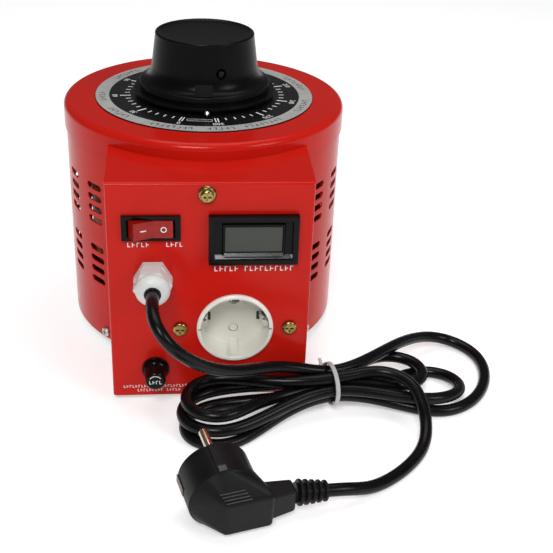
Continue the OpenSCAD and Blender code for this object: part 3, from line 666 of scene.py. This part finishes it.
def make_cap():
    """The pressed cap, with a rounded rim and a short skirt."""
    edge = 4.0
    outline = ([(CAP_HOLE_R, CAP_TOP), (CAP_HOLE_R, CAP_TOP - SHEET)]
               + arc(CAP_R - edge, CAP_TOP - edge, edge - SHEET, 90, 0, 10)
               + [(CAP_R - SHEET, CAP_SKIRT + 0.2), (CAP_R - SHEET / 2, CAP_SKIRT),
                  (CAP_R, CAP_SKIRT + 0.3)]
               + arc(CAP_R - edge, CAP_TOP - edge, edge, 0, 90, 14))
    cap = put_in_scene("cap", lathe(outline, TURNED_STEPS))
    finish_piece(cap, "red_enamel", replaces=("top_cap",), sharper_than=60)


make_shell()
make_cap()
refine("control_box", "folded_box", 0.42, segments=3, sharper_than=50, shade_at=45)
refine("shell_screws", "shell_screw_heads", 0.15)
refine("panel_top_screw", "top_screw", 0.2)
refine("cup_washer", "top_screw_washer", 0.2)
refine("socket_screws", "outlet_screws", 0.2)
refine("rubber_feet", "feet", 0.5)
refine("base_pan", "base", 0.2)

# ---- Dial ----
ZERO_ANGLE, STEP_ANGLE, STEPS, VOLTS_PER_STEP = 17.4, 33.6, 10, 30
TICKS_PER_STEP = 5
PRINT_LOW, PRINT_HIGH = -0.02, 0.04
RING_IN, RING_OUT = 58.5, 66.7


def dial_place(angle, radius):
    """A frame on the dial at a clockwise angle from the front: X clockwise, Y outward."""
    return spin(180 - angle) @ shift(0, radius, DIAL_FACE)


def make_dial():
    """The black disc and the silver ring printed round its rim."""
    edge, steps = 0.2, 192
    face = lathe([(CAP_HOLE_R, CAP_TOP), (DIAL_R, CAP_TOP), (DIAL_R, DIAL_FACE - edge),
                  (DIAL_R - edge, DIAL_FACE), (CAP_HOLE_R, DIAL_FACE)], steps)
    finish_piece(put_in_scene("dial_face", face), "dial_black", replaces=("dial_plate",))
    low, high = DIAL_FACE - 0.05, DIAL_FACE + PRINT_HIGH
    ring = lathe([(RING_IN, low), (RING_OUT, low), (RING_OUT, high), (RING_IN, high)], steps)
    finish_piece(put_in_scene("dial_ring", ring), "dial_black", paint="ring_silver")


def make_ticks():
    """Marks round the dial, double at both ends, and an outlined plate between the ends."""
    last = STEPS * TICKS_PER_STEP
    parts = []
    for k in range(last + 1):
        low, high, half = (46.0, 49.0, 0.4) if k % TICKS_PER_STEP else (45.5, 52.0, 0.5)
        middles = (0.0,)
        if k in (0, last):
            middles, half = (-0.8, 0.8), 0.7 * half
        for x in middles:
            parts.append((slab((x - half, low, x + half, high), PRINT_LOW, PRINT_HIGH),
                          dial_place(ZERO_ANGLE + k * STEP_ANGLE / TICKS_PER_STEP, 0)))
    side, low, high, line, plate_angle = 7.5, 46.9, 50.1, 0.3, 5.1
    for rectangle in ((-side, low, side, low + line), (-side, high - line, side, high),
                      (-side, low, line - side, high), (side - line, low, side, high)):
        parts.append((slab(rectangle, PRINT_LOW, PRINT_HIGH), dial_place(plate_angle, 0)))
    finish_piece(put_in_scene("dial_ticks", joined(*parts)), "dial_black", paint="mark_white")


def make_numbers():
    """The volts at each long mark, in plain digits."""
    size, thick, radius = 4.6, 0.03, 54.9
    parts = []
    for k in range(STEPS + 1):
        curve = bpy.data.curves.new("number", "FONT")
        curve.body, curve.size = str(VOLTS_PER_STEP * k), size
        curve.align_x, curve.align_y = "CENTER", "CENTER"
        curve.extrude = thick
        made = bpy.data.objects.new("number", curve)
        bpy.context.scene.collection.objects.link(made)
        graph = bpy.context.evaluated_depsgraph_get()
        mesh = bpy.data.meshes.new_from_object(made.evaluated_get(graph))
        bpy.data.objects.remove(made)
        bm = bmesh.new()
        bm.from_mesh(mesh)
        parts.append((bm, dial_place(ZERO_ANGLE + k * STEP_ANGLE, radius)))
    finish_piece(put_in_scene("dial_numbers", joined(*parts)), "dial_black", paint="mark_white")


def letter_bars(index, height):
    """Plain strokes that stand for one letter: an upright and a crossbar."""
    stroke, width = 0.17 * height, 0.58 * height
    level = (index * 7 % 3) / 2 * (height - stroke)
    return [(0, 0, stroke, height), (stroke, level, width, level + stroke)]


def mark_row(count, height, pitch, gaps):
    """Letter-like strokes in a row from x = 0, with gaps after the given letters."""
    x, bars = 0.0, []
    for i in range(count):
        bars += [(x + a, b, x + c, d) for a, b, c, d in letter_bars(i, height)]
        x += pitch + (pitch if i in gaps else 0)
    return bars


def make_ring_marks():
    """Words of letter-like strokes round the silver ring, each a start angle and a count."""
    height, half, pitch, radius = 3.4, 1, 3.1, 60.9
    words = ((-13, 5), (9, 8), (48, 6), (78, 5), (118, 7), (152, 4), (200, 6), (240, 8), (282, 7),
             (318, 8))
    parts = []
    for start, count in words:
        for i in range(count):
            place = dial_place(start + i * pitch, radius)
            parts += [(slab((a - half, b, c - half, d), 0.02, 0.08), place)
                      for a, b, c, d in letter_bars(i, height)]
    finish_piece(put_in_scene("dial_ring_marks", joined(*parts)), "dial_black", paint="black_print_and_shade")


make_dial()
make_ticks()
make_numbers()
make_ring_marks()

# ---- Knob ----


def make_knob():
    """The hollow knob, turned from its outline, with a hole for its set screw."""
    foot, bore = 153.3, 4.02
    inside = [(bore, foot), (9, foot), (9, 184.5), (26.4, 184.5), (28.6, 165), (31, 159.6),
              (36.4, 157.2), (36.8, 153.5), (37.0, foot)]
    disc = [(42.8, foot), (43, 153.5), (43, 154.9), (42.85, 155.25), (42.5, 155.4), (38.7, 155.4),
            (38.5, 155.6)]
    flange = [(38.5, 156.9), (38.7, 157.1), (39.4, 157.1), (39.7, 157.4), (39.7, 159.7),
              (39.6, 160.0), (39.3, 160.3), (38.4, 160.6)]
    flare = [(37.5, 160.9), (36.6, 161.3), (35.8, 161.85), (35, 162.5), (34.3, 163.3), (33.8, 164.2),
             (33.35, 165.2), (33, 166.3), (32.6, 167.6), (32.3, 169), (31.9, 172), (29.9, 187.6)]
    rim = arc(28.7, 188.2, 1.2, 5, 90, 6)
    crown = [(28.2, 189.4), (27.4, 189.1), (26.4, 188.5), (24, 188.2), (12, 187.95), (0, 187.9),
             (0, 183.2), (bore, 183.2)]
    knob = put_in_scene("control_knob", lathe(inside + disc + flange + flare + rim + crown, 192))
    to_screw = spin(16) @ shift(0, 0, 172) @ spin(90, "X")
    for radius, start, steps in ((1.9, 0, 32), (3.2, 15, 48)):
        carve(knob, lathe([(0, start), (radius, start), (radius, 50), (0, 50)], steps), to_screw)
    finish_piece(knob, "knob_black", "rotor", ("knob",), sharper_than=32)


def make_index_patch():
    """The moulded patch on the knob's flare, above the pointer."""
    patch = hull_of([(x, y, z) for x in (-6.8, 3.6)
                     for y, z in ((-33.2, 166.2), (-38.9, 161.2), (-38.6, 160.4), (-33, 164))])
    patch = put_in_scene("knob_patch", patch)
    soften(patch, 0.25)
    finish_piece(patch, "knob_black", "rotor")


def make_pointer():
    """A bright ball with a short tail, on a flat stem from under the knob."""
    ball = lathe([(0, -1.5), (0.9, -1.3), (1.5, -0.8), (1.75, 0), (1.5, 0.8), (0.9, 1.3), (0, 1.5)], 32)
    tail = hull_of([(x, y, z) for x, y in ((-0.9, 0), (0.9, 0), (0.4, -4.2), (-0.4, -4.2))
                    for z in (-0.4, 0.25)])
    stem = block((-1.6, 0, -0.4), (1.6, 6.5, 0.3))
    whole = joined((ball, HERE), (tail, HERE), (stem, HERE))
    pointer = put_in_scene("dial_pointer", whole, shift(0, -44.4, 153))
    finish_piece(pointer, "bright_metal", "rotor", ("knob_pointer",), sharper_than=40)


make_knob()
make_index_patch()
refine("knob_set_screw", "set_screw", 0.1)
make_pointer()

# ---- Switch ----
ROCKER = panel(SWITCH_AT) @ shift(0, 0, ROCKER_PIVOT) @ spin(ROCKER_TIP, "Y")


def make_rocker_marks():
    """A dash and a ring on the rocker's face, whose halves rise from its middle to its ends."""
    middle, end, reach, thick = 5.2, 7.4, 10.6, 0.08
    rise = (end - middle) / reach
    slope = math.degrees(math.atan(rise))

    def on_face(x, turn):
        return ROCKER @ shift(x, 0, middle + abs(x) * rise) @ spin(turn, "Y")

    dash = slab((-1.6, -0.3, 1.6, 0.3), 0, thick)
    ring = lathe([(1.15, 0), (1.65, 0), (1.65, thick), (1.15, thick)], 32)
    marks = joined((dash, on_face(-5.2, slope)), (ring, on_face(5.8, -slope)))
    finish_piece(put_in_scene("rocker_marks", marks), "red_lens", "rocker", paint="mark_white")


refine("switch_body", "switch_housing", 0.35)
refine("switch_rocker", "rocker", 0.35, segments=3, sharper_than=20)
make_rocker_marks()

# ---- Meter, outlet, gland, fuse ----


def make_meter_ledges():
    """Sloped ledges along the foot of the sunken frame and of the window."""
    place = panel(METER_AT) @ spin(90, "Y") @ spin(90, "Z")
    outer = prism([(-11.25, 1.5), (-9.2, 1.5), (-11.25, 3.24)], -21.2, 21.2)
    inner = prism([(-9.4, 2.7), (-7.75, 2.7), (-9.4, 3.9)], -16.2, 16.2)
    ledges = put_in_scene("meter_ledges", joined((outer, place), (inner, place)))
    finish_piece(ledges, "black_plastic", paint="gloss_black", sharper_than=20)


def make_outlet_clips():
    """Bowed earth clips that stand in slots in the well's floor."""
    sheet, half = 0.6, 1.8
    bow = [(14.9, -15.4), (15.2, -11.5), (16.8, -9.0), (17.0, -7.8), (15.7, -6.3), (15.7, -5.4),
           (18.9, -3.4)]
    outline = bow + [(x + sheet, z) for x, z in reversed(bow)]
    clips = [(prism(outline, -half, half), panel(SOCKET_AT) @ spin(angle) @ spin(90, "X"))
             for angle in (0, 180)]
    made = put_in_scene("outlet_clips", joined(*clips))
    soften(made, 0.12, sharper_than=50)
    finish_piece(made, "bright_metal", replaces=("earth_clips",), paint="clip_metal",
                 sharper_than=50)


def make_slot_shade():
    """Painted shade: dark sheets by each clip, in the well's floor, in its wall and in its rim, that stand
    for the shade in the slots there.
    """
    place = panel(SOCKET_AT)
    slots = (((13.4, -3.8, -15.4), (15.9, 1.6, -15.22)),
             ((19.5, -2.9, -15.2), (19.8, 2.9, -3.1)),
             ((19.3, -0.3, 1.2), (21.0, 0.3, 2.24)))
    parts = []
    for side in (-1, 1):
        for (near, bottom, low), (far, top, high) in slots:
            left, right = sorted((side * near, side * far))
            parts.append((slab((left, bottom, right, top), low, high), place))
    # the black sheets are painted shade where the slots are dark
    finish_piece(put_in_scene("outlet_slot_shade", joined(*parts)), "ivory_plastic", paint="black_print_and_shade")


def make_outlet_shutters():
    """Round shutters just inside the two holes for a plug's pins."""
    radius, reach, low, high, edge = 2.4, 9.5, -17.2, -15.7, 0.2
    outline = [(0, low), (radius, low), (radius, high - edge), (radius - edge, high), (0, high)]
    shutters = [(lathe(outline, 32), panel(SOCKET_AT) @ shift(0, y, 0)) for y in (-reach, reach)]
    finish_piece(put_in_scene("outlet_shutters", joined(*shutters)), "ivory_plastic")


def make_key_shade():
    """The darker face of the small key at the top of the outlet's well, painted olive-brown as painted
    shade.
    """
    key = slab((-2.1, 17.3, 2.1, 19.5), 0.9, 1.15)
    # the olive-brown paint here is painted shade on the key's face
    finish_piece(put_in_scene("outlet_key_shade", key, panel(SOCKET_AT)), "ivory_plastic",
                 paint="olive_key_shade")


def make_fuse_mark():
    """A plain white arc and strokes on the end of the fuse cap."""
    low, high = FUSE_CAP_END, FUSE_CAP_END + 0.12
    inside, outside, start, end, steps = 3.5, 3.9, 35, 145, 24
    band = arc(0, 0, outside, start, end, steps) + arc(0, 0, inside, end, start, steps)
    parts = [(prism(band, low, high), HERE)]
    for a, b, c, d in mark_row(4, 2.2, 1.9, ()):
        parts.append((slab((a - 3.5, b - 1.5, c - 3.5, d - 1.5), low, high), HERE))
    mark = put_in_scene("fuse_cap_mark", joined(*parts), panel(FUSE_AT))
    finish_piece(mark, "black_plastic", BODY_OF["fuse_cap"], paint="mark_white")


refine("meter_bezel", "meter_frame", 0.5, segments=3)
refine("meter_window", "meter_display", 0.2, segments=1)
make_meter_ledges()
refine("socket_body", "outlet_well", 0.3, sharper_than=40, shade_at=40)
make_outlet_clips()
make_slot_shade()
make_outlet_shutters()
make_key_shade()
refine("gland_body", "gland_base", 0.3, sharper_than=35, shade_at=40)
refine("gland_dome_nut", "gland_nut", 0.35, sharper_than=35, shade_at=40)
refine("gland_seal", "gland_claws", 0.08, segments=1, sharper_than=35, shade_at=40)
refine("fuse_holder_body", "fuse_collar", 0.3, sharper_than=35, shade_at=40)
refine("fuse_cap", "fuse_knob_cap", 0.12, segments=1, sharper_than=40, shade_at=40)
make_fuse_mark()

# ---- Panel marks, in place of its labels ----


def make_panel_marks():
    """Rows of letter-like strokes: x, z, count, height, pitch and the letters before a gap."""
    rows = ((-45.0, 101.4, 5, 2.6, 2.5, ()), (-24.0, 101.4, 4, 2.6, 2.4, ()),
            (2.2, 86.0, 15, 3.0, 2.8, (4,)),
            (-50.0, 9.3, 22, 1.8, 1.7, (9,)), (-42.0, 6.6, 14, 1.8, 1.7, (8,)))
    parts = []
    for x, z, count, height, pitch, gaps in rows:
        for bar in mark_row(count, height, pitch, gaps):
            parts.append((slab(bar, -0.02, 0.05), panel((x, z))))
    finish_piece(put_in_scene("panel_marks", joined(*parts)), "red_enamel", paint="mark_white")


make_panel_marks()

# ---- Brush spring ----


def make_brush_spring():
    """The spring between the holder and the carbon brush, given a mesh of its own."""
    spring = refine("brush_spring", "brush_coil", shade_at=60)
    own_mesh(spring)


make_brush_spring()

# ---- CAD nodes that are shown as they are ----
for node, thing in frame["nodes"].items():
    if not thing.hide_render:
        thing.data.materials.clear()
        thing.data.materials.append(LOOKS[SLOT_OF[node]])

# ---- Stage and lights, placed in metres ----
LIGHT_SIZE, FLOOR_REACH, FLOOR_GLOW, WORLD_GLOW = 1.2, 6.0, 0.38, 0.12
WHITE = (1, 1, 1, 1)


def make_stage():
    """A pale floor that glows a little, so that it stays pale all over."""
    bm = bmesh.new()
    bmesh.ops.create_grid(bm, x_segments=1, y_segments=1, size=FLOOR_REACH * MM_PER_M)
    floor = put_in_scene("floor", bm)
    paper = look("floor", (0.86, 0.86, 0.86), 0.9, vary=0.01, scale=2, specular=0.1)
    shader = paper.node_tree.nodes["Principled BSDF"]
    shader.inputs["Emission Color"].default_value = WHITE
    shader.inputs["Emission Strength"].default_value = FLOOR_GLOW
    floor.data.materials.append(paper)


def area_light(name, at, target, power):
    data = bpy.data.lights.new(name, "AREA")
    data.shape, data.size, data.energy = "SQUARE", LIGHT_SIZE, power
    lamp = bpy.data.objects.new(name, data)
    bpy.context.scene.collection.objects.link(lamp)
    lamp.location = at
    lamp.rotation_euler = (Vector(target) - Vector(at)).to_track_quat("-Z", "Y").to_euler()


def make_world():
    world = bpy.data.worlds.new("world")
    bpy.context.scene.world = world
    world.use_nodes = True
    background = world.node_tree.nodes["Background"]
    background.inputs["Color"].default_value = WHITE
    background.inputs["Strength"].default_value = WORLD_GLOW


make_stage()
area_light("key", (-0.6, -2.6, 2.9), (0, -0.08, 0.05), 80)
area_light("fill", (2.2, -1.8, 1.9), (0, -0.08, 0.05), 30)
area_light("top", (0.1, 0.3, 1.6), (0, 0, 0.1), 10)
make_world()
bpy.context.scene.view_settings.view_transform = "Standard"

bpy.context.view_layer.update()
